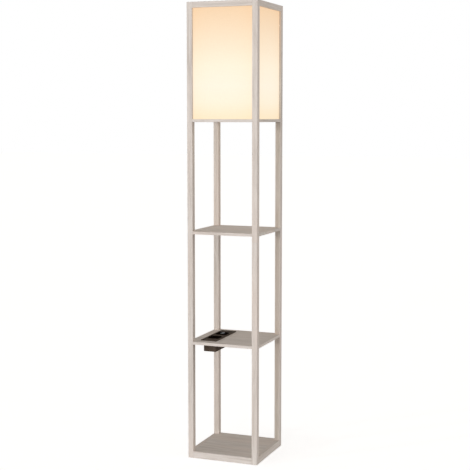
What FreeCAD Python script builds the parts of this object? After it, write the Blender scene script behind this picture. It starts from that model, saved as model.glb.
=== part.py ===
"""Shelf floor lamp: a square wooden tower with two shelves, a base board, a lit
fabric shade between the posts and a power unit let into the lower shelf.

Millimetres. The origin is on the floor, under the middle of the lamp.
+Z is up and the front faces -Y. The four sides are front, right, back, left.
"""
import FreeCAD, Part
import math
import os

V = FreeCAD.Vector
UP = V(0, 0, 1)
SIDES = ["front", "right", "back", "left"]

# ---- Frame ----
WIDTH = 260.0              # outside, left to right
DEPTH = 260.0              # outside, front to back
HEIGHT = 1600.0            # floor to the top of the posts
POST = 20.0                # side of a square post, and the depth of every rail
BASE_TOP = 25.0            # top of the base rails and of the base board
LOWER_SHELF_TOP = 420.0
UPPER_SHELF_TOP = 810.0
SHADE_RAIL_TOP = 1200.0    # where the lit part of the shade begins
SHADE_RAIL = 10.0          # height of the rails under the shade
TOP_RAIL = 20.0            # height of the rails at the very top
BOARD = 10.0               # thickness of the shelves and of the base board
REBATE = 6.0               # step in the base rails that carries the base board
POST_JOINT = 780.0         # height where a lower post half ends
POST_EASE = 0.8            # chamfer along the edges of the posts
RAIL_EASE = 0.5            # chamfer along the edges of rails and boards
JOINT_EASE = 0.3           # chamfer round the ends of the post halves where they meet

# ---- Fastenings of the frame ----
DOWEL_R = 2.0
DOWEL_IN_POST = 8.0
DOWEL_IN_RAIL = 16.0
DOWEL_INSET = 4.5          # dowel axis to the outer face, so that corner dowels miss each other
PIN_R = 4.0                # steel pin across the joint of a post
PIN_LENGTH = 50.0
PAD_HEIGHT = 1.0           # glide pad under each post
PAD_R = 8.0
PAD_STEM_R = 2.0
PAD_STEM = 12.0

# ---- Shade ----
FABRIC = 1.2               # fabric on its stiff liner
PANEL_RECESS = 7.0         # outer face of the frame to the fabric
GROOVE_DEPTH = 3.0
GROOVE_CLEARANCE = 0.1     # each side of the fabric
PANEL_END_GAP = 0.5        # at the sides and at the top of a panel

# ---- Crossbar that carries the lampholder ----
BAR_WIDTH = 24.0
BAR_THICK = 2.0
BAR_LAP = 9.0              # how far the bar lies on a shade rail
BAR_SCREW_R = 1.5
BAR_SCREW_GRIP = 7.0       # screw in the rail
BAR_SCREW_HEAD_R = 3.0
BAR_SCREW_HEAD = 2.0
BAR_SCREW_EASE = 0.7       # rounding of the head
NIPPLE_R = 4.9
NIPPLE_BORE_R = 3.5
NIPPLE_BELOW = 8.0
NIPPLE_ABOVE = 10.0
NUT_SIDES = 6
NUT_ACROSS = 14.0
NUT_THICK = 3.0

# ---- Lampholder ----
HOLDER_R = 19.5
CAP_HEIGHT = 16.0
CAP_WALL = 1.2
CAP_FLOOR = 3.0
CAP_SHOULDER = 3.0         # how far the cap rounds in towards its floor
HOLDER_HEIGHT = 56.0       # crossbar to the rim of the lampholder
SKIRT_DEPTH = 4.0          # how far the insulating body goes into the cap
SWITCH_CHAMBER_R = 14.0
SWITCH_CHAMBER = 14.0      # height of the room for the switch
FLOOR_THICK = 2.0          # insulating floor above the switch
SHELL_WALL = 0.4
SHELL_HEIGHT = 20.0
SHELL_CLEARANCE = 0.3      # between the thread of the bulb and that of the shell
CONTACT_THICK = 0.6
CONTACT_WIDTH = 5.0
CONTACT_LIFT = 3.0         # the centre contact stands this far above its floor

# ---- Rotary switch on the lampholder ----
SHAFT_R = 2.0
SHAFT_CLEARANCE = 0.05
BUSHING_R = 4.0
BUSHING_PROUD = 4.0        # outside the lampholder
BUSHING_INSIDE = 1.0       # into the switch chamber
CAM_R = 5.0
CAM_LENGTH = 6.0
CAM_DEPTH = 12.0           # far face of the cam from the axis of the lampholder
KNOB_R = 6.5
KNOB_LENGTH = 14.0
KNOB_GAP = 0.6
KNOB_SOLID = 4.0           # closed end of the knob
KNOB_FLUTES = 10
KNOB_FLUTE_R = 1.1

# ---- Bulb ----
THREAD_R = 12.75           # mean radius of the bulb's thread
THREAD_WAVE = 0.35
THREAD_PITCH = 3.6
THREAD_TURNS = 5
THREAD_STEPS = 4           # points to a turn of the thread
CAP_COLLAR = 3.0
INSULATOR_HEIGHT = 4.0
TIP_R = 4.5
TIP_HEIGHT = 1.5
TIP_EASE = 1.0             # the tip is this much smaller at its contact face
INSULATOR_LEDGE = 1.0      # insulator round the tip
NECK_R = 14.0
BULB_R = 30.0
BULB_HEIGHT = 110.0        # contact tip to the top of the globe
GLOBE_WALL = 1.2
HOUSING_RISE = 42.0        # housing above the screw cap
HOUSING_WALL = 2.0
WAIST_R_SHARE = 0.35       # where the flank bends: share of its way from neck to globe
WAIST_RISE_SHARE = 0.45    # and share of its rise
LIGHT_BOARD = 1.6
LIGHT_CHIPS = 9
CHIP = 2.8
CHIP_HEIGHT = 0.7
CHIP_CIRCLE_R = 14.0

# ---- Power unit in the lower shelf ----
UNIT_FROM_LEFT = 65.0      # left side of the shelf to the middle of the power unit
UNIT_Y = 0.0               # middle of the power unit, front to back
PLATE_WIDTH = 60.0
PLATE_LENGTH = 196.0
PLATE_HEIGHT = 3.0
PLATE_RIM = 4.0
PLATE_FLOOR = 1.5
PLATE_CORNER_R = 3.0
PLATE_EASE = 1.0           # chamfer round the top of the rim
WELL_CORNER_R = 1.5
HOUSING_WIDTH = 48.0
HOUSING_LENGTH = 172.0
HOUSING_BELOW = 30.0       # housing below the shelf
HOUSING_DRAFT = 1.0        # each side, top to bottom
HOUSING_CORNER_R = 3.0
TUB_WALL = 2.0
CUT_CLEARANCE = 0.5        # housing in the cut-out of the shelf
BOSS_R = 3.2
BOSS_OVERLAP = 1.0         # how far a boss runs into the walls of the housing
BOSS_DEPTH = 16.0
MODULE = 38.0              # side of the outlet face and of the charging face
MODULE_PITCH = 74.0
MODULE_PROUD = 3.0
MODULE_DEPTH = 20.0
MODULE_CLEARANCE = 0.2
MODULE_CORNER_R = 3.0
MODULE_EASE = 0.5          # chamfer round the faces
BLADE_SLOT = 2.2
BLADE_SPACING = 12.7
HOT_SLOT = 7.0
NEUTRAL_SLOT = 9.0
EARTH_R = 2.6
EARTH_OFFSET = 12.0
BLADE_ROW = 5.0            # blade slots to the middle of the outlet face
SLOT_DEPTH = 15.0
CLIP_WALL = 0.4
CLIP_HEIGHT = 9.0
PORT_WIDTH = 13.0
PORT_HEIGHT = 5.6
PORT_DEPTH = 14.0
PORT_SPACING = 14.0
PORT_SHELL = 0.4
TONGUE_WIDTH = 10.0
TONGUE_THICK = 1.8
TONGUE_LENGTH = 10.0
TONGUE_GAP = 0.4           # between the tongue and the shell
CHARGER_BOARD = 1.6
TRANSFORMER = 14.0
TRANSFORMER_HEIGHT = 11.0
TRANSFORMER_OFFSET = 7.0   # to the left of the middle of the board
CAPACITOR_R = 4.0
CAPACITOR_HEIGHT = 10.0
CAPACITOR_OFFSET = 11.0    # to the right of the middle of the board
SCREW_R = 1.4
SCREW_GRIP = 8.0
SCREW_HEAD_R = 2.6
SCREW_HEAD = 0.9
CROSS_LENGTH = 3.0         # recess in a screw head, tip to tip
CROSS_WIDTH = 0.7
CROSS_SHARE = 0.7          # of the height of the head
PLATE_SCREW_INSET = 7.0    # screw into the shelf, from the end of the plate
GLAND_R = 6.0
GLAND_BORE_R = 3.3
GLAND_FLANGE_R = 8.0
GLAND_FLANGE = 2.5
GLAND_NOSE = 12.0
GLAND_DROP = 15.0          # gland axis below the shelf

# ---- Worked out ----
UNIT_X = UNIT_FROM_LEFT - WIDTH / 2
TOP_RAIL_BOTTOM = HEIGHT - TOP_RAIL
BAR_TOP = SHADE_RAIL_TOP + BAR_THICK
HOLDER_TOP = BAR_TOP + HOLDER_HEIGHT
SHELL_TOP = HOLDER_TOP - TIP_HEIGHT
SHELL_FLOOR = SHELL_TOP - SHELL_HEIGHT - FLOOR_THICK
CHAMBER_FLOOR = SHELL_FLOOR - FLOOR_THICK - SWITCH_CHAMBER
SWITCH_Z = CHAMBER_FLOOR + SWITCH_CHAMBER / 2
BULB_TIP = SHELL_FLOOR + CONTACT_LIFT
CAP_BOTTOM = BULB_TIP + TIP_HEIGHT + INSULATOR_HEIGHT
CAP_TOP = CAP_BOTTOM + THREAD_TURNS * THREAD_PITCH + CAP_COLLAR
HOUSING_TOP = CAP_TOP + HOUSING_RISE
BULB_TOP = BULB_TIP + BULB_HEIGHT
UNIT_FLOOR_TOP = LOWER_SHELF_TOP + PLATE_FLOOR
MODULE_TOP = UNIT_FLOOR_TOP + MODULE_PROUD
MODULE_BOTTOM = MODULE_TOP - MODULE_DEPTH
HOUSING_BOTTOM = LOWER_SHELF_TOP - BOARD - HOUSING_BELOW
PARALLEL = 0.99            # least cosine of two directions that count as one


# ---- Small tools ----
def block(x0, x1, y0, y1, z0, z1):
    return Part.makeBox(x1 - x0, y1 - y0, z1 - z0, V(x0, y0, z0))


def centred(cx, cy, wide, long, z0, z1):
    return block(cx - wide / 2, cx + wide / 2, cy - long / 2, cy + long / 2, z0, z1)


def rod(radius, length, at, along=UP):
    return Part.makeCylinder(radius, length, at, along)


def rounded(cx, cy, wide, long, z0, z1, radius):
    """Upright block with rounded upright edges."""
    solid = centred(cx, cy, wide, long, z0, z1)
    upright = [e for e in solid.Edges if abs(e.Vertexes[0].Z - e.Vertexes[1].Z) > (z1 - z0) / 2]
    return solid.makeFillet(radius, upright)


def eased(solid, size, wanted):
    """Chamfer the edges whose middle passes the test."""
    edges = [e for e in solid.Edges if wanted(e)]
    return solid.makeChamfer(size, edges)


def runs_along(edge, axis):
    ends = edge.Vertexes
    return abs((ends[1].Point - ends[0].Point).normalize().dot(axis)) > PARALLEL


def cross_recess(x, y, top, depth):
    """The cross that a screwdriver turns, sunk into a screw head."""
    long = CROSS_LENGTH
    wide = CROSS_WIDTH
    bars = centred(x, y, long, wide, top - depth, top)
    return bars.fuse(centred(x, y, wide, long, top - depth, top))


def turned(points):
    """Solid of revolution about the Z axis from (radius, height) points."""
    outline = Part.makePolygon([V(r, 0, z) for r, z in points + points[:1]])
    return Part.Face(outline).revolve(V(0, 0, 0), UP, 360)


def save(name, shape):
    shape.exportStep("parts/" + name + ".step")


def save_group(name, solids):
    save(name, Part.makeCompound(solids))


def reach(side):
    """Half the size of the frame towards this side."""
    return DEPTH / 2 if side in ("front", "back") else WIDTH / 2


def clear_span(side):
    """Half the opening between the posts along this side."""
    return (WIDTH if side in ("front", "back") else DEPTH) / 2 - POST


def on_side(side, shape):
    """Turn a shape that was drawn at the front to one of the four sides."""
    placed = shape.copy()
    placed.rotate(V(0, 0, 0), UP, 90 * SIDES.index(side))
    return placed


def corners():
    for front_back, sy in (("front", -1), ("back", 1)):
        for left_right, sx in (("left", -1), ("right", 1)):
            yield front_back + "_" + left_right, sx, sy


def post_block(sx, sy, z0, z1):
    cx = sx * (WIDTH - POST) / 2
    cy = sy * (DEPTH - POST) / 2
    return centred(cx, cy, POST, POST, z0, z1)


# ---- Dowels, pins and pads ----
def level_dowels(z):
    """Two dowels for each side at one height, one into each post."""
    found = []
    for side in SIDES:
        y = -reach(side) + DOWEL_INSET
        for end in (-1, 1):
            start = V(end * (clear_span(side) - DOWEL_IN_RAIL), y, z)
            dowel = rod(DOWEL_R, DOWEL_IN_RAIL + DOWEL_IN_POST, start, V(end, 0, 0))
            found.append(on_side(side, dowel))
    return found


DOWEL_LEVELS = [
    (PAD_HEIGHT + BASE_TOP - BOARD) / 2,
    LOWER_SHELF_TOP - BOARD / 2,
    UPPER_SHELF_TOP - BOARD / 2,
    SHADE_RAIL_TOP - SHADE_RAIL / 2,
    HEIGHT - TOP_RAIL / 2,
]
DOWELS = [dowel for z in DOWEL_LEVELS for dowel in level_dowels(z)]


def post_pin(sx, sy):
    cx = sx * (WIDTH - POST) / 2
    cy = sy * (DEPTH - POST) / 2
    return rod(PIN_R, PIN_LENGTH, V(cx, cy, POST_JOINT - PIN_LENGTH / 2))


def glide_pad(sx, sy):
    cx = sx * (WIDTH - POST) / 2
    cy = sy * (DEPTH - POST) / 2
    pad = rod(PAD_R, PAD_HEIGHT, V(cx, cy, 0))
    return pad.fuse(rod(PAD_STEM_R, PAD_HEIGHT + PAD_STEM, V(cx, cy, 0)))


# ---- Fabric panels and their grooves ----
def panel_slab(side, grown, sideways, z0, z1):
    """Upright slab where the fabric runs, thicker by `grown` on both faces."""
    outer = -reach(side) + PANEL_RECESS
    half = clear_span(side) + sideways
    return on_side(side, block(-half, half, outer - grown, outer + FABRIC + grown, z0, z1))


def panel(side):
    bottom = SHADE_RAIL_TOP - GROOVE_DEPTH
    top = TOP_RAIL_BOTTOM + GROOVE_DEPTH - PANEL_END_GAP
    return panel_slab(side, 0, GROOVE_DEPTH - PANEL_END_GAP, bottom, top)


def groove(side):
    bottom = SHADE_RAIL_TOP - GROOVE_DEPTH
    top = TOP_RAIL_BOTTOM + GROOVE_DEPTH
    return panel_slab(side, GROOVE_CLEARANCE, GROOVE_DEPTH, bottom, top)


GROOVES = [groove(side) for side in SIDES]


# ---- Wooden frame ----
def post_half(sx, sy, z0, z1):
    post = eased(post_block(sx, sy, z0, z1), POST_EASE, lambda e: runs_along(e, UP))
    post = eased(post, JOINT_EASE, lambda e: abs(e.CenterOfMass.z - POST_JOINT) < JOINT_EASE)
    post = post.cut(DOWELS + [post_pin(sx, sy), glide_pad(sx, sy)])
    if z1 > SHADE_RAIL_TOP:
        post = post.cut(GROOVES)
    return post


def rail(side, z0, z1, holes):
    half = clear_span(side)
    bar = block(-half, half, -reach(side), -reach(side) + POST, z0, z1)
    bar = eased(bar, RAIL_EASE, lambda e: runs_along(e, V(1, 0, 0)))
    return on_side(side, bar).cut(holes)


def base_rail(side):
    half = clear_span(side)
    inner = -reach(side) + POST
    step = on_side(side, block(-half, half, inner - REBATE, inner, BASE_TOP - BOARD, BASE_TOP))
    return rail(side, PAD_HEIGHT, BASE_TOP, DOWELS + [step])


def notched_board(half_x, half_y, top):
    """Board with its corners cut out for the posts."""
    board = block(-half_x, half_x, -half_y, half_y, top - BOARD, top)
    posts = [post_block(sx, sy, top - BOARD, top) for name, sx, sy in corners()]
    return board.cut(posts)


def shelf(top, holes):
    board = notched_board(WIDTH / 2, DEPTH / 2, top)

    def outer_edge(edge):
        middle = edge.CenterOfMass
        outside = max(abs(middle.x) - WIDTH / 2, abs(middle.y) - DEPTH / 2)
        return outside > -RAIL_EASE and not runs_along(edge, UP)

    return eased(board, RAIL_EASE, outer_edge).cut(holes)


def make_frame():
    for name, sx, sy in corners():
        save("post_lower_" + name, post_half(sx, sy, PAD_HEIGHT, POST_JOINT))
        save("post_upper_" + name, post_half(sx, sy, POST_JOINT, HEIGHT))
    for side in SIDES:
        save("base_rail_" + side, base_rail(side))
        shade_holes = DOWELS + GROOVES + bar_screws()
        save("shade_rail_" + side, rail(side, SHADE_RAIL_TOP - SHADE_RAIL, SHADE_RAIL_TOP, shade_holes))
        save("top_rail_" + side, rail(side, TOP_RAIL_BOTTOM, HEIGHT, DOWELS + GROOVES))
        save("shade_panel_" + side, panel(side))
    inside = -POST + REBATE
    save("base_board", notched_board(WIDTH / 2 + inside, DEPTH / 2 + inside, BASE_TOP))
    save("upper_shelf", shelf(UPPER_SHELF_TOP, DOWELS))
    save("lower_shelf", shelf(LOWER_SHELF_TOP, DOWELS + [unit_cut_out()] + shelf_screws()))
    save_group("frame_dowels", DOWELS)
    save_group("post_pins", [post_pin(sx, sy) for name, sx, sy in corners()])
    save_group("glide_pads", [glide_pad(sx, sy) for name, sx, sy in corners()])


# ---- Crossbar ----
def bar_screws():
    """One wood screw at each end of the crossbar, as left and right solids."""
    x = WIDTH / 2 - POST + BAR_LAP / 2
    screws = []
    for sx in (-1, 1):
        shank = rod(BAR_SCREW_R, BAR_THICK + BAR_SCREW_GRIP, V(sx * x, 0, SHADE_RAIL_TOP - BAR_SCREW_GRIP))
        head = rod(BAR_SCREW_HEAD_R, BAR_SCREW_HEAD, V(sx * x, 0, BAR_TOP))
        head = eased(head, BAR_SCREW_EASE, lambda e: e.CenterOfMass.z > BAR_TOP + BAR_SCREW_HEAD / 2)
        recess = cross_recess(sx * x, 0, BAR_TOP + BAR_SCREW_HEAD, CROSS_SHARE * BAR_SCREW_HEAD)
        screws.append(shank.fuse(head).cut(recess))
    return screws


def nipple_blank():
    return rod(NIPPLE_R, NIPPLE_BELOW + BAR_THICK + NIPPLE_ABOVE, V(0, 0, SHADE_RAIL_TOP - NIPPLE_BELOW))


def make_crossbar():
    half = WIDTH / 2 - POST + BAR_LAP
    bar = block(-half, half, -BAR_WIDTH / 2, BAR_WIDTH / 2, SHADE_RAIL_TOP, BAR_TOP)
    bar = bar.makeFillet(BAR_LAP / 2, [e for e in bar.Edges if runs_along(e, UP)])
    save("crossbar", bar.cut(bar_screws() + [nipple_blank()]))
    save_group("crossbar_screws", bar_screws())
    bore = rod(NIPPLE_BORE_R, HOLDER_HEIGHT, V(0, 0, SHADE_RAIL_TOP - NIPPLE_BELOW))
    save("nipple", nipple_blank().cut(bore))
    corner = NUT_ACROSS / 2 / math.cos(math.pi / NUT_SIDES)
    points = []
    for k in range(NUT_SIDES + 1):
        angle = 2 * math.pi * k / NUT_SIDES
        points.append(V(corner * math.cos(angle), corner * math.sin(angle), SHADE_RAIL_TOP - NUT_THICK))
    nut = Part.Face(Part.makePolygon(points)).extrude(V(0, 0, NUT_THICK))
    save("nipple_nut", nut.cut(nipple_blank()))


# ---- Lampholder and its switch ----
FRONT = V(0, -1, 0)
BODY_R = HOLDER_R - CAP_WALL
SHELL_R = THREAD_R + SHELL_CLEARANCE
SHELL_BORE_R = SHELL_R + THREAD_WAVE + SHELL_WALL
CAP_RIM = BAR_TOP + CAP_HEIGHT
KNOB_FACE = HOLDER_R + BUSHING_PROUD + KNOB_GAP


def thread_points(mean, start, turns):
    """(radius, height) points of a wavy wall that stands for the turns of a thread."""
    points = []
    for k in range(THREAD_STEPS * turns + 1):
        lift = THREAD_WAVE * math.sin(2 * math.pi * k / THREAD_STEPS)
        points.append((mean + lift, start + k * THREAD_PITCH / THREAD_STEPS))
    return points


def bushing_blank():
    inner_end = SWITCH_CHAMBER_R - BUSHING_INSIDE
    return rod(BUSHING_R, HOLDER_R + BUSHING_PROUD - inner_end, V(0, -inner_end, SWITCH_Z), FRONT)


def shaft_length():
    return KNOB_FACE + KNOB_LENGTH - KNOB_SOLID - (CAM_DEPTH - CAM_LENGTH)


def shaft_rod(radius):
    return rod(radius, shaft_length(), V(0, -(CAM_DEPTH - CAM_LENGTH), SWITCH_Z), FRONT)


def socket_cap():
    shoulder = HOLDER_R - CAP_SHOULDER
    outline = [
        (0, BAR_TOP), (shoulder - CAP_SHOULDER, BAR_TOP), (shoulder, BAR_TOP + CAP_SHOULDER / 2),
        (HOLDER_R, BAR_TOP + 2 * CAP_SHOULDER), (HOLDER_R, CAP_RIM), (BODY_R, CAP_RIM),
        (BODY_R, BAR_TOP + 2 * CAP_SHOULDER), (shoulder - CAP_WALL, BAR_TOP + CAP_FLOOR),
        (0, BAR_TOP + CAP_FLOOR)]
    return turned(outline).cut(nipple_blank())


def socket_body():
    skirt = CAP_RIM - SKIRT_DEPTH
    under = SHELL_FLOOR - FLOOR_THICK
    outline = [
        (SWITCH_CHAMBER_R, skirt), (BODY_R, skirt), (BODY_R, CAP_RIM), (HOLDER_R, CAP_RIM),
        (HOLDER_R, HOLDER_TOP), (SHELL_BORE_R, HOLDER_TOP), (SHELL_BORE_R, SHELL_FLOOR),
        (0, SHELL_FLOOR), (0, under), (SWITCH_CHAMBER_R, under)]
    return turned(outline).cut(bushing_blank())


def screw_shell():
    start = CAP_BOTTOM - THREAD_PITCH
    inner = thread_points(SHELL_R, start, THREAD_TURNS)
    inner = [(SHELL_R, SHELL_FLOOR)] + inner
    outer = [(r + SHELL_WALL, z) for r, z in reversed(inner)]
    return turned(inner + outer)


def centre_contact():
    """Springy brass strip that rises from its floor to the tip of the bulb."""
    half = TIP_R
    outline = [
        (-half, SHELL_FLOOR), (half, SHELL_FLOOR), (half, SHELL_FLOOR + CONTACT_THICK),
        (0, SHELL_FLOOR + CONTACT_THICK), (half, BULB_TIP - CONTACT_THICK), (half, BULB_TIP),
        (half - CONTACT_THICK, BULB_TIP), (-half, SHELL_FLOOR + CONTACT_THICK), (-half, SHELL_FLOOR)]
    points = [V(x, -CONTACT_WIDTH / 2, z) for x, z in outline]
    return Part.Face(Part.makePolygon(points)).extrude(V(0, CONTACT_WIDTH, 0))


def switch_shaft():
    cam = rod(CAM_R, CAM_LENGTH, V(0, -(CAM_DEPTH - CAM_LENGTH), SWITCH_Z), FRONT)
    flat = block(-CAM_R, CAM_R, -CAM_DEPTH, 0, SWITCH_Z + CAM_R / 2, SWITCH_Z + CAM_R)
    return shaft_rod(SHAFT_R).fuse(cam.cut(flat))


def switch_knob():
    knob = rod(KNOB_R, KNOB_LENGTH, V(0, -KNOB_FACE, SWITCH_Z), FRONT)
    tip = -KNOB_FACE - KNOB_LENGTH
    knob = eased(knob, KNOB_FLUTE_R, lambda e: abs(e.CenterOfMass.y - tip) < KNOB_FLUTE_R)
    flutes = []
    for k in range(KNOB_FLUTES):
        angle = 2 * math.pi * k / KNOB_FLUTES
        at = V(KNOB_R * math.cos(angle), -KNOB_FACE, SWITCH_Z + KNOB_R * math.sin(angle))
        flutes.append(rod(KNOB_FLUTE_R, KNOB_LENGTH, at, FRONT))
    return knob.cut(flutes + [shaft_rod(SHAFT_R)])


def make_lampholder():
    save("socket_cap", socket_cap())
    save("socket_body", socket_body())
    save("screw_shell", screw_shell())
    save("centre_contact", centre_contact())
    save("switch_bushing", bushing_blank().cut(shaft_rod(SHAFT_R + SHAFT_CLEARANCE)))
    save("switch_shaft", switch_shaft())
    save("switch_knob", switch_knob())


# ---- Bulb ----
PLUG_R = THREAD_R - THREAD_WAVE - SHELL_WALL
BULB_CENTRE = BULB_TOP - BULB_R
GLOBE_BASE_R = math.sqrt(BULB_R ** 2 - (BULB_CENTRE - HOUSING_TOP) ** 2)
LIGHT_BOARD_R = GLOBE_BASE_R - HOUSING_WALL


def bulb_cap():
    outer = thread_points(THREAD_R, CAP_BOTTOM, THREAD_TURNS)
    outline = [(PLUG_R, CAP_BOTTOM)] + outer + [(THREAD_R, CAP_TOP), (PLUG_R, CAP_TOP)]
    return turned(outline)


def bulb_housing():
    """White body from inside the screw cap up to the rim of the globe."""
    flank = Part.BSplineCurve()
    rise = HOUSING_TOP - CAP_TOP
    waist_r = NECK_R + (GLOBE_BASE_R - NECK_R) * WAIST_R_SHARE
    waist = V(waist_r, 0, CAP_TOP + rise * WAIST_RISE_SHARE)
    flank.interpolate([V(NECK_R, 0, CAP_TOP), waist, V(GLOBE_BASE_R, 0, HOUSING_TOP)])
    ledge = HOUSING_TOP - LIGHT_BOARD
    rest = [
        (GLOBE_BASE_R, HOUSING_TOP), (LIGHT_BOARD_R, HOUSING_TOP), (LIGHT_BOARD_R, ledge),
        (LIGHT_BOARD_R - HOUSING_WALL, ledge), (PLUG_R - HOUSING_WALL, CAP_TOP),
        (PLUG_R - HOUSING_WALL, CAP_BOTTOM + HOUSING_WALL), (0, CAP_BOTTOM + HOUSING_WALL),
        (0, CAP_BOTTOM), (PLUG_R, CAP_BOTTOM), (PLUG_R, CAP_TOP), (NECK_R, CAP_TOP)]
    edges = [flank.toShape()]
    for (r0, z0), (r1, z1) in zip(rest, rest[1:]):
        edges.append(Part.makeLine(V(r0, 0, z0), V(r1, 0, z1)))
    face = Part.Face(Part.Wire(Part.__sortEdges__(edges)))
    return face.revolve(V(0, 0, 0), UP, 360)


def bulb_globe():
    centre = V(0, 0, BULB_CENTRE)
    shell = Part.makeSphere(BULB_R, centre).cut(Part.makeSphere(BULB_R - GLOBE_WALL, centre))
    return shell.common(rod(2 * BULB_R, 2 * BULB_R, V(0, 0, HOUSING_TOP)))


def light_board():
    board = rod(LIGHT_BOARD_R, LIGHT_BOARD, V(0, 0, HOUSING_TOP - LIGHT_BOARD))
    chips = []
    for k in range(LIGHT_CHIPS):
        chip = centred(CHIP_CIRCLE_R, 0, CHIP, CHIP, HOUSING_TOP, HOUSING_TOP + CHIP_HEIGHT)
        chip.rotate(V(0, 0, 0), UP, 360 / LIGHT_CHIPS * k)
        chips.append(chip)
    return board.fuse(chips)


def make_bulb():
    lip = BULB_TIP + TIP_HEIGHT
    save("bulb_tip", turned([(0, BULB_TIP), (TIP_R - TIP_EASE, BULB_TIP), (TIP_R, lip), (0, lip)]))
    cone = [(0, lip), (TIP_R + INSULATOR_LEDGE, lip), (PLUG_R, CAP_BOTTOM), (0, CAP_BOTTOM)]
    save("bulb_insulator", turned(cone))
    save("bulb_cap", bulb_cap())
    save("bulb_housing", bulb_housing())
    save("bulb_globe", bulb_globe())
    save("light_board", light_board())


# ---- Power unit ----
MODULE_Y = {"outlet": UNIT_Y - MODULE_PITCH / 2, "charger": UNIT_Y + MODULE_PITCH / 2}
HOUSING_BACK = UNIT_Y + HOUSING_LENGTH / 2


def unit_cut_out():
    wide = HOUSING_WIDTH + 2 * CUT_CLEARANCE
    long = HOUSING_LENGTH + 2 * CUT_CLEARANCE
    return centred(UNIT_X, UNIT_Y, wide, long, LOWER_SHELF_TOP - BOARD, LOWER_SHELF_TOP)


def screw(x, y):
    shank = rod(SCREW_R, SCREW_GRIP, V(x, y, UNIT_FLOOR_TOP - SCREW_GRIP))
    head = rod(SCREW_HEAD_R, SCREW_HEAD, V(x, y, UNIT_FLOOR_TOP))
    recess = cross_recess(x, y, UNIT_FLOOR_TOP + SCREW_HEAD, CROSS_SHARE * SCREW_HEAD)
    return shank.fuse(head).cut(recess)


def shelf_screws():
    y = PLATE_LENGTH / 2 - PLATE_SCREW_INSET
    return [screw(UNIT_X, UNIT_Y + end * y) for end in (-1, 1)]


def boss_places():
    dx = HOUSING_WIDTH / 2 - TUB_WALL - BOSS_R + BOSS_OVERLAP
    dy = HOUSING_LENGTH / 2 - TUB_WALL - BOSS_R + BOSS_OVERLAP
    return [(UNIT_X + sx * dx, UNIT_Y + sy * dy) for sx in (-1, 1) for sy in (-1, 1)]


def unit_screws():
    return shelf_screws() + [screw(x, y) for x, y in boss_places()]


def module_blank(name, grown, top, bottom):
    side = MODULE + 2 * grown
    return rounded(UNIT_X, MODULE_Y[name], side, side, bottom, top, MODULE_CORNER_R)


def power_plate():
    inner_wide = PLATE_WIDTH - 2 * PLATE_RIM
    inner_long = PLATE_LENGTH - 2 * PLATE_RIM
    top = LOWER_SHELF_TOP + PLATE_HEIGHT
    plate = rounded(UNIT_X, UNIT_Y, PLATE_WIDTH, PLATE_LENGTH, LOWER_SHELF_TOP, top, PLATE_CORNER_R)
    plate = eased(plate, PLATE_EASE, lambda e: e.CenterOfMass.z > top - PLATE_FLOOR / 2)
    well = rounded(UNIT_X, UNIT_Y, inner_wide, inner_long, UNIT_FLOOR_TOP, top, WELL_CORNER_R)
    windows = [module_blank(name, MODULE_CLEARANCE, top, LOWER_SHELF_TOP) for name in MODULE_Y]
    return plate.cut([well] + windows + unit_screws())


def housing_wire(z, inset, draft):
    wide = HOUSING_WIDTH - 2 * inset - 2 * draft
    long = HOUSING_LENGTH - 2 * inset
    slab = rounded(UNIT_X, UNIT_Y, wide, long, z, z + TUB_WALL, HOUSING_CORNER_R)
    lowest = min(slab.Faces, key=lambda f: f.CenterOfMass.z)
    return lowest.OuterWire


def power_housing():
    """Open tub under the plate, with a screw boss in each corner."""
    outer = [housing_wire(HOUSING_BOTTOM, 0, HOUSING_DRAFT), housing_wire(LOWER_SHELF_TOP, 0, 0)]
    floor = HOUSING_BOTTOM + TUB_WALL
    inner = [housing_wire(floor, TUB_WALL, HOUSING_DRAFT), housing_wire(LOWER_SHELF_TOP, TUB_WALL, 0)]
    hull = Part.makeLoft(outer, True, True)
    bosses = []
    for x, y in boss_places():
        bosses.append(rod(BOSS_R, BOSS_DEPTH, V(x, y, LOWER_SHELF_TOP - BOSS_DEPTH)).common(hull))
    tub = hull.cut(Part.makeLoft(inner, True, True)).fuse(bosses)
    return tub.cut(unit_screws() + [gland_tube()])


def slot_blank(name):
    """Hole for one contact of the outlet, from its face down."""
    x = {"hot": BLADE_SPACING / 2, "neutral": -BLADE_SPACING / 2, "earth": 0}[name] + UNIT_X
    bottom = MODULE_TOP - SLOT_DEPTH
    if name == "earth":
        y = MODULE_Y["outlet"] + BLADE_ROW - EARTH_OFFSET
        return rod(EARTH_R, SLOT_DEPTH, V(x, y, bottom))
    long = HOT_SLOT if name == "hot" else NEUTRAL_SLOT
    return centred(x, MODULE_Y["outlet"] + BLADE_ROW, BLADE_SLOT, long, bottom, MODULE_TOP)


def contact_clip(name):
    """Brass clip at the bottom of a slot, open towards the blade."""
    blank = slot_blank(name)
    bottom = MODULE_TOP - SLOT_DEPTH
    room = blank.BoundBox
    whole = blank.common(block(room.XMin, room.XMax, room.YMin, room.YMax, bottom, bottom + CLIP_HEIGHT))
    if name == "earth":
        axis = room.Center
        gap = rod(EARTH_R - CLIP_WALL, SLOT_DEPTH, V(axis.x, axis.y, bottom + CLIP_WALL))
    else:
        gap = block(room.XMin + CLIP_WALL, room.XMax - CLIP_WALL, room.YMin, room.YMax,
                    bottom + CLIP_WALL, MODULE_TOP)
    return whole.cut(gap)


def module_insert(name, holes):
    insert = module_blank(name, 0, MODULE_TOP, MODULE_BOTTOM)
    insert = eased(insert, MODULE_EASE, lambda e: e.CenterOfMass.z > MODULE_TOP - MODULE_EASE)
    return insert.cut(holes)


def port_places():
    return [MODULE_Y["charger"] + end * PORT_SPACING / 2 for end in (-1, 1)]


def port_blank(y):
    return centred(UNIT_X, y, PORT_WIDTH, PORT_HEIGHT, MODULE_TOP - PORT_DEPTH, MODULE_TOP)


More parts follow.
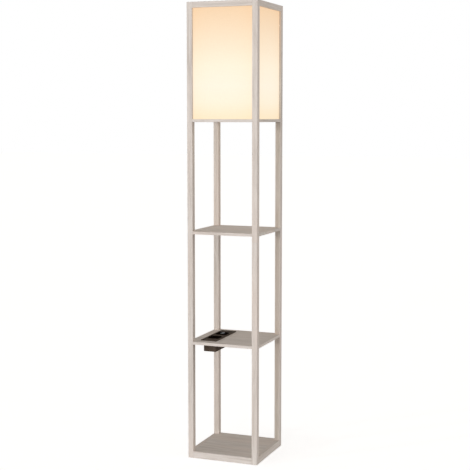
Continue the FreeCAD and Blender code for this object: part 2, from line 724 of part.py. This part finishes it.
def port_shell(y):
    wide = PORT_WIDTH - 2 * PORT_SHELL
    high = PORT_HEIGHT - 2 * PORT_SHELL
    return port_blank(y).cut(centred(UNIT_X, y, wide, high, MODULE_TOP - PORT_DEPTH, MODULE_TOP))


def port_tongue(y):
    low = y - PORT_HEIGHT / 2 + PORT_SHELL + TONGUE_GAP
    bottom = MODULE_TOP - PORT_DEPTH
    half = TONGUE_WIDTH / 2
    return block(UNIT_X - half, UNIT_X + half, low, low + TONGUE_THICK, bottom, bottom + TONGUE_LENGTH)


def charger_board():
    y = MODULE_Y["charger"]
    under = MODULE_BOTTOM - CHARGER_BOARD
    board = centred(UNIT_X, y, MODULE, MODULE, under, MODULE_BOTTOM)
    core_x = UNIT_X - TRANSFORMER_OFFSET
    core = centred(core_x, y, TRANSFORMER, TRANSFORMER, under - TRANSFORMER_HEIGHT, under)
    at = V(UNIT_X + CAPACITOR_OFFSET, y, under - CAPACITOR_HEIGHT)
    return board.fuse([core, rod(CAPACITOR_R, CAPACITOR_HEIGHT, at)])


def gland_tube():
    z = LOWER_SHELF_TOP - BOARD - GLAND_DROP
    start = V(UNIT_X, HOUSING_BACK - 2 * TUB_WALL, z)
    return rod(GLAND_R, 2 * TUB_WALL + GLAND_NOSE, start, V(0, 1, 0))


def cord_gland():
    z = LOWER_SHELF_TOP - BOARD - GLAND_DROP
    flange = rod(GLAND_FLANGE_R, GLAND_FLANGE, V(UNIT_X, HOUSING_BACK, z), V(0, 1, 0))
    bore = rod(GLAND_BORE_R, HOUSING_LENGTH, V(UNIT_X, UNIT_Y, z), V(0, 1, 0))
    return gland_tube().fuse(flange).cut(bore)


def make_power_unit():
    slots = [slot_blank(name) for name in ("hot", "neutral", "earth")]
    save("power_plate", power_plate())
    save("power_housing", power_housing())
    save("outlet_insert", module_insert("outlet", slots))
    save_group("outlet_contacts", [contact_clip(name) for name in ("hot", "neutral", "earth")])
    save("charging_insert", module_insert("charger", [port_blank(y) for y in port_places()]))
    save_group("port_shells", [port_shell(y) for y in port_places()])
    save_group("port_tongues", [port_tongue(y) for y in port_places()])
    save("charger_board", charger_board())
    save_group("unit_screws", unit_screws())
    save("cord_gland", cord_gland())


os.makedirs("parts", exist_ok=True)
make_frame()
make_crossbar()
make_lampholder()
make_bulb()
make_power_unit()
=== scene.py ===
"""Looks of the shelf floor lamp: washed wood, lit fabric panels, bulb and power unit.

Metres, in the same frame as the solids: +Z up, the front faces -Y.
"""
import math

import bmesh
import bpy
from mathutils import Matrix, Vector


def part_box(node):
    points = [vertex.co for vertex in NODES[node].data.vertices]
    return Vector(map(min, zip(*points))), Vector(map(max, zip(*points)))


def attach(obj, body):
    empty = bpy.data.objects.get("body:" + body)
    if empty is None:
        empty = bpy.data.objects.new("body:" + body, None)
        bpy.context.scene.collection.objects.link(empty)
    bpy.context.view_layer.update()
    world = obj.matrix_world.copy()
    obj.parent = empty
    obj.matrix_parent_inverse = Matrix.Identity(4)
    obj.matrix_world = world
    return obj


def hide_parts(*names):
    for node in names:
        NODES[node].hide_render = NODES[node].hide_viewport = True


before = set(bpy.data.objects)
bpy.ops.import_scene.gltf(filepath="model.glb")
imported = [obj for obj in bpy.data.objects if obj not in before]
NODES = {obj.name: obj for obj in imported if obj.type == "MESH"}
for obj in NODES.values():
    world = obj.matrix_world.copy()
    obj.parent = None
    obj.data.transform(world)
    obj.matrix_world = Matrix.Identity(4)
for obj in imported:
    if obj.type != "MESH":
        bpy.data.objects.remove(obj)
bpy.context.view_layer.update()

LAMP = "lamp"
MM = 0.001

# ---- Places read from the frame ----
SHADE_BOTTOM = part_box("shade_rail_front")[1].z
SHADE_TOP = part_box("top_rail_front")[0].z
PANEL_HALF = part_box("top_rail_front")[1].x

# ---- Camera ----
CAMERA_PLACE = (1.4519, -3.7238, 1.2076)
CAMERA_YAW = 21.332        # degrees, turned left from a view along +Y
CAMERA_PITCH = 5.544       # degrees down
SENSOR_WIDTH = 36.0        # millimetres, as is the focal length
FOCAL_LENGTH = 86.46
FRAME_SHIFT = -0.018
VIEW_END = 60.0

# ---- Light ----
SKY_LOW = 1.20             # light from all round, at the height of the lamp
SKY_HIGH = 0.10            # and from above
SKY_TURN = 0.9             # height on the unit sky from which it is as dark as above
SKY_COLOUR = (1.0, 0.957, 0.90, 1.0)
WHITE = (1.0, 1.0, 1.0, 1.0)
SUN_SOFTNESS = 2.5         # degrees
COOL = (0.96, 1.0, 1.10)
WARM = (1.06, 1.0, 0.88)
SUNS = {                   # where each light stands, its strength and its colour
    "front": ((0.0, -0.995, 0.10), 0.40, COOL),          # each front post shades the one behind it
    "diagonal": ((-0.704, -0.704, 0.10), 0.76, COOL),    # shaded by the left post for the one behind it
    "oblique": ((-0.400, -0.911, 0.10), 0.36, WARM),     # reaches between the posts
    "right": ((0.995, 0.0, 0.10), 0.27, COOL),           # the right posts shade the left ones
}

# ---- Floor ----
FLOOR_REACH = 30.0
FLOOR_GREY = (0.75, 0.75, 0.75, 1.0)
FLOOR_LIFT = 0.68          # added where the floor is seen, so that it looks white


def srgb(red, green, blue):
    """Linear colour with alpha from 0..255 display values."""
    def linear(value):
        value = value / 255
        return value / 12.92 if value <= 0.04045 else ((value + 0.055) / 1.055) ** 2.4

    return (linear(red), linear(green), linear(blue), 1.0)


# ---- Washed wood ----
WOODEN = ("post_lower", "post_upper", "base_", "shade_rail", "top_rail", "upper_shelf", "lower_shelf")
WOOD_PALE = srgb(232, 225, 219)
WOOD_MAIN = srgb(221, 213, 206)
WOOD_GREY = srgb(206, 197, 189)
WOOD_WARM = srgb(224, 209, 198)
WOOD_PORE = srgb(176, 164, 153)
WOOD_TONES = [(0.38, WOOD_GREY), (0.49, WOOD_MAIN), (0.61, WOOD_PALE)]
WOOD_GLOSS = 0.10
WOOD_RELIEF = 0.18 * MM
GRAIN_STEP = (0.41, 0.29, 0.67)            # each piece is cut from another place of the grain
GRAIN_ALONG = 0.055                        # scale along the grain, where it is 1 across
GRAIN_WANDER = 0.03                        # metres that the grain wanders
WANDER = (9.0, 1.6)                        # features per metre, across and along a piece
BROAD = (14.0, 2.2)
BANDS = (105.0, 3.0, 0.55)                 # features per metre across a piece, detail and roughness
STREAKS = (240.0, 4.0, 0.6)
FIBRES = (900.0, 3.0, 0.65)
BAND_SHARE = 0.45
STREAK_SHARE = 0.35
BROAD_SHARE = 0.20
WARM_PATCHES = (0.42, 0.66, 0.0, 0.5)      # low and high noise, and what they are mapped to
PORES = (0.60, 0.74, 0.0, 0.5)
WOOD_ROUGHNESS = (0.3, 0.7, 0.64, 0.80)
PORE_HEIGHT = -0.8
STREAK_HEIGHT = 0.35

# ---- Hard materials: noise scales are features per metre ----
DETAIL = 3.0                               # octaves of a noise that shows up close
PLASTIC_GRAIN = 2600.0
PLASTIC_BLOTCHES = 60.0
PLASTIC_WEAR = (-0.06, 0.08)               # what the grain takes from the roughness and adds to it
BLOTCH_EDGES = (0.35, 0.65)
METAL_TARNISH = 90.0
METAL_WEAR = (-0.05, 0.1)
TARNISH_EDGES = (0.35, 0.7)
TARNISH_SHADE = 0.82
METAL_RELIEF = 0.02 * MM
MARKS_UPRIGHT = (400, 400, 20)             # drawing marks that run up a piece
MARKS_ROUND = (60, 60, 900)                # and round it
MIDDLE_NOISE = (0.3, 0.7)                  # nearly all of a noise lies between these
BEECH_PALE = srgb(214, 184, 138)
BEECH_DARK = srgb(188, 152, 104)
BEECH_FIBRES = 800.0
BEECH_ROUGHNESS = 0.6
BOARD_GREEN = srgb(34, 92, 54)
BOARD_TRACK = srgb(120, 168, 120)
BOARD_TRACKS = 300.0
TRACK_EDGES = (0.02, 0.06)
BOARD_ROUGHNESS = 0.35

# ---- Cloth of the shade and its glow, from the foot to the top of a panel ----
CLOTH_DARK = srgb(92, 86, 76)
CLOTH_PALE = srgb(106, 99, 89)
THREADS = 2400.0           # features per metre, across a thread
THREAD_RUN = 60.0          # and along it
WEFT_SHARE = 0.5           # the rest is warp
SLUBS = 900.0
SLUB_RUN = 26.0
THREAD_TONES = (0.35, 0.65)
THREAD_LIGHT = (0.98, 1.02)
SLUB_LIGHT = (0.55, 0.75, 1.0, 0.98)
CLOTH_ROUGHNESS = 0.9
CLOTH_SHEEN = 0.1
CLOTH_GLOSS = 0.1
CLOTH_RELIEF = 0.08 * MM
GLOW_FOOT = srgb(247, 226, 192)
GLOW_NEAR = srgb(249, 235, 212)
GLOW_BULB = srgb(249, 237, 218)
GLOW_TOP = srgb(237, 203, 165)
GLOW = [(0.0, GLOW_FOOT), (0.15, GLOW_NEAR), (0.3, GLOW_BULB), (0.48, GLOW_NEAR), (1.0, GLOW_TOP)]
# painted fall-off of the glow: the lit cloth turns dimmer and warmer towards the posts
GLOW_RIM = (1.0, 0.90, 0.80, 1.0)
RIM_WARMTH = 0.4
RIM_FALL = 3.0

# ---- Bulb ----
GLOBE_WHITE = srgb(250, 244, 232)
GLOBE_WARM = srgb(255, 236, 200)
GLOBE_PALE = srgb(255, 243, 216)
GLOBE_FROST = 1500.0
GLOBE_ROUGHNESS = 0.45
GLOBE_GLOW = 1.6

# ---- Fabric panels ----
SIDES = {"front": 0, "right": 1, "back": 2, "left": 3}     # quarter turns from the front
PANEL_COLUMNS = 36
PANEL_ROWS = 60
CLOTH = 0.8 * MM
HEM = 8.0 * MM             # what shows of it
HEM_HIDDEN = 3.0 * MM      # and what the groove hides
HEM_THICK = 0.25 * MM      # on each face
RIPPLE = 0.10 * MM
RIPPLE_ACROSS = 7.1        # radians of a wave, from post to post
RIPPLE_SHIFT = 2.3         # from one side to the next


# ---- Node trees ----
class Tree:
    """Short calls for building a shader out of nodes."""

    def __init__(self, node_tree):
        self.nodes = node_tree.nodes
        self.links = node_tree.links
        self.nodes.clear()

    def node(self, kind, **settings):
        made = self.nodes.new(kind)
        for name, value in settings.items():
            setattr(made, name, value)
        return made

    def put(self, socket, value):
        """Link a socket to another one, or set its value. None leaves it as it is."""
        if isinstance(value, bpy.types.NodeSocket):
            self.links.new(value, socket)
        elif value is not None:
            socket.default_value = value

    def link(self, source, target):
        self.links.new(source, target)

    def maths(self, operation, a, b=None, c=None):
        made = self.node("ShaderNodeMath", operation=operation)
        for socket, value in zip(made.inputs, (a, b, c)):
            self.put(socket, value)
        return made.outputs[0]

    def place(self, scale=(1, 1, 1), offset=(0, 0, 0)):
        """Position in the lamp's frame, scaled so that a feature of size 1 is 1/scale metres."""
        at = self.node("ShaderNodeTexCoord")
        mapping = self.node("ShaderNodeMapping")
        self.put(mapping.inputs["Scale"], scale)
        self.put(mapping.inputs["Location"], offset)
        self.link(at.outputs["Object"], mapping.inputs["Vector"])
        return mapping.outputs[0]

    def axes(self, kind):
        """X, Y and Z of one kind of texture coordinate."""
        at = self.node("ShaderNodeTexCoord")
        split = self.node("ShaderNodeSeparateXYZ")
        self.link(at.outputs[kind], split.inputs[0])
        return split.outputs

    def noise(self, where, scale=1.0, detail=2.0, roughness=0.5):
        made = self.node("ShaderNodeTexNoise")
        self.put(made.inputs["Vector"], where)
        self.put(made.inputs["Scale"], scale)
        self.put(made.inputs["Detail"], detail)
        self.put(made.inputs["Roughness"], roughness)
        return made.outputs["Fac"]

    def spread(self, value, low, high, to_low=0.0, to_high=1.0):
        """Map low..high to to_low..to_high and hold it there outside."""
        made = self.node("ShaderNodeMapRange", clamp=True)
        for name, number in (("Value", value), ("From Min", low), ("From Max", high),
                             ("To Min", to_low), ("To Max", to_high)):
            self.put(made.inputs[name], number)
        return made.outputs["Result"]

    def mix(self, amount, a, b, blend="MIX"):
        made = self.node("ShaderNodeMix", data_type="RGBA", blend_type=blend)
        factor, colour_a, colour_b = made.inputs[0], made.inputs[6], made.inputs[7]
        for socket, value in ((factor, amount), (colour_a, a), (colour_b, b)):
            self.put(socket, value)
        return made.outputs[2]

    def ramp(self, value, stops):
        made = self.node("ShaderNodeValToRGB")
        elements = made.color_ramp.elements
        while len(elements) < len(stops):
            elements.new(0.5)
        for element, (position, colour) in zip(elements, stops):
            element.position = position
            element.color = colour
        self.put(made.inputs[0], value)
        return made.outputs[0]

    def bump(self, height, distance):
        made = self.node("ShaderNodeBump")
        self.put(made.inputs["Height"], height)
        self.put(made.inputs["Distance"], distance)
        self.put(made.inputs["Strength"], 1.0)
        return made.outputs[0]


def new_material(name):
    material = bpy.data.materials.new(name)
    material.use_nodes = True
    tree = Tree(material.node_tree)
    shader = tree.node("ShaderNodeBsdfPrincipled")
    output = tree.node("ShaderNodeOutputMaterial")
    tree.link(shader.outputs[0], output.inputs["Surface"])
    return material, tree, shader.inputs


def shaded(colour, share):
    """A colour times a share, no brighter than white."""
    return tuple(min(1.0, part * share) for part in colour[:3]) + (1.0,)


def dress(material, *nodes):
    """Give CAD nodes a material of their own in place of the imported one."""
    for node in nodes:
        mesh = NODES[node].data
        mesh.materials.clear()
        mesh.materials.append(material)


# ---- Camera, light and floor ----
def make_camera():
    """The photograph's view: from the right of the front, a little above the shade's lower rail."""
    lens = bpy.data.cameras.new("camera")
    lens.sensor_width = SENSOR_WIDTH
    lens.lens = FOCAL_LENGTH
    lens.shift_y = FRAME_SHIFT
    lens.clip_end = VIEW_END
    camera = bpy.data.objects.new("camera", lens)
    camera.location = CAMERA_PLACE
    camera.rotation_euler = (math.radians(90) - math.radians(CAMERA_PITCH), 0.0, math.radians(CAMERA_YAW))
    bpy.context.scene.collection.objects.link(camera)
    bpy.context.scene.camera = camera


def make_sun(name, towards, strength, colour):
    light = bpy.data.lights.new(name, "SUN")
    light.energy = strength
    light.color = colour
    light.angle = math.radians(SUN_SOFTNESS)
    sun = bpy.data.objects.new(name, light)
    sun.rotation_mode = "QUATERNION"
    sun.rotation_quaternion = Vector(towards).to_track_quat("Z", "Y")
    bpy.context.scene.collection.objects.link(sun)


def seen_directly(tree):
    """1 for rays from the camera, in a reflection or through glass, and 0 for light."""
    path = tree.node("ShaderNodeLightPath")
    seen = tree.maths("MAXIMUM", path.outputs["Is Camera Ray"], path.outputs["Is Glossy Ray"])
    return tree.maths("MAXIMUM", seen, path.outputs["Is Transmission Ray"])


def light_scene():
    """Four faint suns, and a sky that darkens upwards for light and is white where it is seen."""
    for name, (towards, strength, colour) in SUNS.items():
        make_sun(name, towards, strength, colour)
    world = bpy.data.worlds.new("studio")
    bpy.context.scene.world = world
    world.use_nodes = True
    tree = Tree(world.node_tree)
    sky = tree.spread(tree.axes("Generated")["Z"], 0.0, SKY_TURN, SKY_LOW, SKY_HIGH)
    light = tree.mix(1.0, SKY_COLOUR, sky, "MULTIPLY")
    background = tree.node("ShaderNodeBackground")
    tree.link(tree.mix(seen_directly(tree), light, WHITE), background.inputs["Color"])
    background.inputs["Strength"].default_value = 1.0
    output = tree.node("ShaderNodeOutputWorld")
    tree.link(background.outputs[0], output.inputs["Surface"])


def pale_floor():
    """Plain grey that takes shadows, lifted to white for the rays that see it."""
    material = bpy.data.materials.new("pale_floor")
    material.use_nodes = True
    tree = Tree(material.node_tree)
    diffuse = tree.node("ShaderNodeBsdfDiffuse")
    diffuse.inputs["Color"].default_value = FLOOR_GREY
    glow = tree.node("ShaderNodeEmission")
    tree.link(tree.maths("MULTIPLY", seen_directly(tree), FLOOR_LIFT), glow.inputs["Strength"])
    both = tree.node("ShaderNodeAddShader")
    tree.link(diffuse.outputs[0], both.inputs[0])
    tree.link(glow.outputs[0], both.inputs[1])
    output = tree.node("ShaderNodeOutputMaterial")
    tree.link(both.outputs[0], output.inputs["Surface"])
    return material


def make_floor():
    data = bpy.data.meshes.new("floor")
    corners = [(-FLOOR_REACH, -FLOOR_REACH, 0), (FLOOR_REACH, -FLOOR_REACH, 0),
               (FLOOR_REACH, FLOOR_REACH, 0), (-FLOOR_REACH, FLOOR_REACH, 0)]
    data.from_pydata(corners, [], [(0, 1, 2, 3)])
    data.materials.append(pale_floor())
    floor = bpy.data.objects.new("floor", data)
    bpy.context.scene.collection.objects.link(floor)


# ---- Washed wood ----
def stretch(along, fine, coarse):
    """Scale that is coarse along one axis and fine across it."""
    return tuple(coarse if axis == along else fine for axis in "xyz")


def wood(name, along, offset):
    """Greige washed grain that runs along one axis of the frame."""
    material, tree, inputs = new_material(name)
    wander = tree.noise(tree.place(stretch(along, *WANDER), offset))
    at = tree.node("ShaderNodeVectorMath", operation="ADD")
    tree.put(at.inputs[0], tree.place(stretch(along, 1.0, GRAIN_ALONG), offset))
    tree.put(at.inputs[1], tree.maths("MULTIPLY", wander, GRAIN_WANDER))
    grain_at = at.outputs[0]
    bands = tree.noise(grain_at, *BANDS)
    streaks = tree.noise(grain_at, *STREAKS)
    fibres = tree.noise(grain_at, *FIBRES)
    broad = tree.noise(tree.place(stretch(along, *BROAD), offset))

    tone = tree.maths("MULTIPLY", bands, BAND_SHARE)
    tone = tree.maths("MULTIPLY_ADD", streaks, STREAK_SHARE, tone)
    tone = tree.maths("MULTIPLY_ADD", broad, BROAD_SHARE, tone)
    base = tree.ramp(tone, WOOD_TONES)
    base = tree.mix(tree.spread(broad, *WARM_PATCHES), base, WOOD_WARM)
    pores = tree.spread(fibres, *PORES)
    tree.link(tree.mix(pores, base, WOOD_PORE), inputs["Base Color"])
    tree.link(tree.spread(streaks, *WOOD_ROUGHNESS), inputs["Roughness"])
    inputs["Specular IOR Level"].default_value = WOOD_GLOSS
    relief = tree.maths("MULTIPLY_ADD", pores, PORE_HEIGHT, tree.maths("MULTIPLY", streaks, STREAK_HEIGHT))
    tree.link(tree.bump(relief, WOOD_RELIEF), inputs["Normal"])
    return material


def grain_axis(node):
    """Axis along which the wood of this node grows."""
    if node.startswith("post_"):
        return "z"
    if node.endswith("_left") or node.endswith("_right"):
        return "y"
    return "x"


def dress_wood():
    wooden = [name for name in NODES if name.startswith(WOODEN)]
    for count, name in enumerate(sorted(wooden)):
        offset = tuple(step * count for step in GRAIN_STEP)
        dress(wood("washed_wood_" + name, grain_axis(name), offset), name)


# ---- Plain hard materials ----
def moulded(name, colour, roughness, depth=0.04 * MM, mottle=0.12, gloss=0.4):
    """Plastic with a fine eroded texture and faint blotches."""
    material, tree, inputs = new_material(name)
    cells = tree.noise(tree.place(), PLASTIC_GRAIN)
    blotch = tree.noise(tree.place(), PLASTIC_BLOTCHES, DETAIL)
    blotch = tree.spread(blotch, *BLOTCH_EDGES)
    tree.link(tree.mix(blotch, shaded(colour, 1 - mottle), shaded(colour, 1 + mottle)), inputs["Base Color"])
    worn = [roughness + change for change in PLASTIC_WEAR]
    tree.link(tree.spread(cells, *MIDDLE_NOISE, *worn), inputs["Roughness"])
    inputs["Specular IOR Level"].default_value = gloss
    tree.link(tree.bump(cells, depth), inputs["Normal"])
    return material


def metal(name, colour, roughness, scale=MARKS_UPRIGHT):
    """Plated metal with fine drawing marks."""
    material, tree, inputs = new_material(name)
    marks = tree.noise(tree.place(scale), detail=DETAIL)
    tarnish = tree.noise(tree.place(), METAL_TARNISH, DETAIL)
    tarnish = tree.spread(tarnish, *TARNISH_EDGES)
    tree.link(tree.mix(tarnish, colour, shaded(colour, TARNISH_SHADE)), inputs["Base Color"])
    inputs["Metallic"].default_value = 1.0
    worn = [roughness + change for change in METAL_WEAR]
    tree.link(tree.spread(marks, *MIDDLE_NOISE, *worn), inputs["Roughness"])
    tree.link(tree.bump(marks, METAL_RELIEF), inputs["Normal"])
    return material


def beech(name):
    material, tree, inputs = new_material(name)
    fibres = tree.noise(tree.place(), BEECH_FIBRES, DETAIL)
    tree.link(tree.mix(fibres, BEECH_PALE, BEECH_DARK), inputs["Base Color"])
    inputs["Roughness"].default_value = BEECH_ROUGHNESS
    return material


def circuit(name):
    """Green lacquered board with paler tracks."""
    material, tree, inputs = new_material(name)
    cells = tree.node("ShaderNodeTexVoronoi", distance="MANHATTAN", feature="DISTANCE_TO_EDGE")
    tree.put(cells.inputs["Vector"], tree.place())
    tree.put(cells.inputs["Scale"], BOARD_TRACKS)
    off_track = tree.spread(cells.outputs[0], *TRACK_EDGES)
    tree.link(tree.mix(off_track, BOARD_TRACK, BOARD_GREEN), inputs["Base Color"])
    inputs["Roughness"].default_value = BOARD_ROUGHNESS
    return material


# ---- Glow of the shade and the bulb ----
def add_glow(tree, inputs, colour, strength):
    tree.put(inputs["Emission Color"], colour)
    tree.put(inputs["Emission Strength"], strength)


def edge_share(tree, axes):
    """0 in the middle of a panel, 1 at the posts."""
    across = tree.maths("MINIMUM", tree.maths("ABSOLUTE", axes["X"]), tree.maths("ABSOLUTE", axes["Y"]))
    return tree.spread(across, 0.0, PANEL_HALF)


def shade_fabric(name):
    """Linen on its liner, lit from the bulb behind it."""
    material, tree, inputs = new_material(name)
    axes = tree.axes("Object")
    height = tree.spread(axes["Z"], SHADE_BOTTOM, SHADE_TOP)
    weft = tree.noise(tree.place((THREAD_RUN, THREAD_RUN, THREADS)))
    warp = tree.noise(tree.place((THREADS, THREADS, THREAD_RUN)))
    weft = tree.maths("MULTIPLY", weft, WEFT_SHARE)
    threads = tree.maths("ADD", weft, tree.maths("MULTIPLY", warp, 1 - WEFT_SHARE))
    slubs = tree.noise(tree.place((SLUB_RUN, SLUB_RUN, SLUBS)), detail=DETAIL)
    tree.link(tree.mix(tree.spread(threads, *THREAD_TONES), CLOTH_DARK, CLOTH_PALE), inputs["Base Color"])
    inputs["Roughness"].default_value = CLOTH_ROUGHNESS
    inputs["Sheen Weight"].default_value = CLOTH_SHEEN
    inputs["Specular IOR Level"].default_value = CLOTH_GLOSS
    glow = tree.ramp(height, GLOW)
    # painted fall-off of the bulb's light: the glow is dimmed and warmed towards the posts
    rim = tree.maths("POWER", edge_share(tree, axes), RIM_FALL)
    glow = tree.mix(tree.maths("MULTIPLY", rim, RIM_WARMTH), glow, GLOW_RIM, "MULTIPLY")
    strength = tree.spread(threads, *MIDDLE_NOISE, *THREAD_LIGHT)
    strength = tree.maths("MULTIPLY", strength, tree.spread(slubs, *SLUB_LIGHT))
    add_glow(tree, inputs, glow, strength)
    tree.link(tree.bump(threads, CLOTH_RELIEF), inputs["Normal"])
    return material


def frosted_globe(name):
    material, tree, inputs = new_material(name)
    inputs["Base Color"].default_value = GLOBE_WHITE
    inputs["Roughness"].default_value = GLOBE_ROUGHNESS
    frost = tree.noise(tree.place(), GLOBE_FROST)
    add_glow(tree, inputs, tree.mix(frost, GLOBE_WARM, GLOBE_PALE), GLOBE_GLOW)
    return material


# ---- Fabric panels ----
def panel_rows(side, low, high):
    """Points over a panel, row by row: place across it, height, ripple and half thickness."""
    across = max(high.x - low.x, high.y - low.y)
    tall = high.z - low.z
    rows = []
    for j in range(PANEL_ROWS + 1):
        z = low.z + tall * j / PANEL_ROWS
        edge = min(z - low.z, high.z - z)
        thick = CLOTH / 2 + (HEM_THICK if edge < HEM + HEM_HIDDEN else 0)
        row = []
        for i in range(PANEL_COLUMNS + 1):
            share = i / PANEL_COLUMNS
            wave = math.sin(RIPPLE_ACROSS * share + RIPPLE_SHIFT * SIDES[side])
            ripple = RIPPLE * wave * math.sin(math.pi * j / PANEL_ROWS)
            row.append(((share - 0.5) * across, z, ripple, thick))
        rows.append(row)
    return rows


def panel_mesh(name, rows, distance, turn):
    """Closed sheet: an outer face, an inner face and the rim that joins them."""
    mesh = bmesh.new()
    grids = []
    for sign in (-1, 1):
        grid = [[mesh.verts.new(turn @ Vector((x, -distance + ripple + sign * thick, z)))
                 for x, z, ripple, thick in row] for row in rows]
        grids.append(grid)
        for lower, upper in zip(grid, grid[1:]):
            for i in range(PANEL_COLUMNS):
                quad = [lower[i], lower[i + 1], upper[i + 1], upper[i]]
                mesh.faces.new(quad if sign < 0 else quad[::-1])
    outer, inner = grids
    rim = [(j, 0) for j in range(PANEL_ROWS, 0, -1)] + [(0, i) for i in range(PANEL_COLUMNS)]
    rim += [(j, PANEL_COLUMNS) for j in range(PANEL_ROWS)]
    rim += [(PANEL_ROWS, i) for i in range(PANEL_COLUMNS, 0, -1)]
    for (j0, i0), (j1, i1) in zip(rim, rim[1:] + rim[:1]):
        mesh.faces.new([outer[j1][i1], outer[j0][i0], inner[j0][i0], inner[j1][i1]])
    mesh.normal_update()
    data = bpy.data.meshes.new(name)
    mesh.to_mesh(data)
    mesh.free()
    return data


def fabric_panel(side, material):
    """Stretched cloth between the posts with a folded hem along its top and foot."""
    node = "shade_panel_" + side
    low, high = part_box(node)
    middle = (low + high) / 2
    distance = max(abs(middle.x), abs(middle.y))
    turn = Matrix.Rotation(math.radians(90 * SIDES[side]), 4, "Z")
    data = panel_mesh("shade_fabric_" + side, panel_rows(side, low, high), distance, turn)
    data.materials.append(material)
    piece = bpy.data.objects.new("shade_fabric_" + side, data)
    bpy.context.scene.collection.objects.link(piece)
    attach(piece, LAMP)
    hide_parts(node)


# ---- Everything else that the solids show ----
def dress_hard_parts():
    dress(metal("zinc_steel", srgb(196, 197, 198), 0.34),
          "crossbar", "crossbar_screws", "nipple", "nipple_nut", "port_shells", "post_pins")
    dress(metal("nickel_plate", srgb(206, 203, 196), 0.24, MARKS_ROUND), "bulb_cap", "switch_bushing")
    dress(metal("contact_brass", srgb(214, 184, 118), 0.30),
          "centre_contact", "screw_shell", "outlet_contacts", "bulb_tip", "switch_shaft")
    dress(metal("black_screws", srgb(52, 50, 50), 0.38), "unit_screws")
    dress(moulded("holder_black", srgb(34, 32, 31), 0.42),
          "socket_cap", "socket_body", "switch_knob", "bulb_insulator")
    dress(moulded("unit_plastic", srgb(84, 73, 64), 0.70, depth=0.05 * MM, gloss=0.02),
          "power_plate", "power_housing", "cord_gland")
    dress(moulded("insert_plastic", srgb(18, 13, 10), 0.75, depth=0.02 * MM, gloss=0.0),
          "outlet_insert", "charging_insert")
    dress(moulded("white_plastic", srgb(236, 235, 231), 0.36, depth=0.01 * MM, mottle=0.02),
          "bulb_housing", "port_tongues", "light_board")
    dress(moulded("glide_plastic", srgb(84, 78, 72), 0.6), "glide_pads")
    dress(beech("beech_dowel"), "frame_dowels")
    dress(circuit("circuit_board"), "charger_board")
    dress(frosted_globe("frosted_globe"), "bulb_globe")


bpy.context.scene.view_settings.view_transform = "Standard"
make_camera()
light_scene()
make_floor()
dress_wood()
dress_hard_parts()
cloth = shade_fabric("lit_linen")
for side in SIDES:
    fabric_panel(side, cloth)
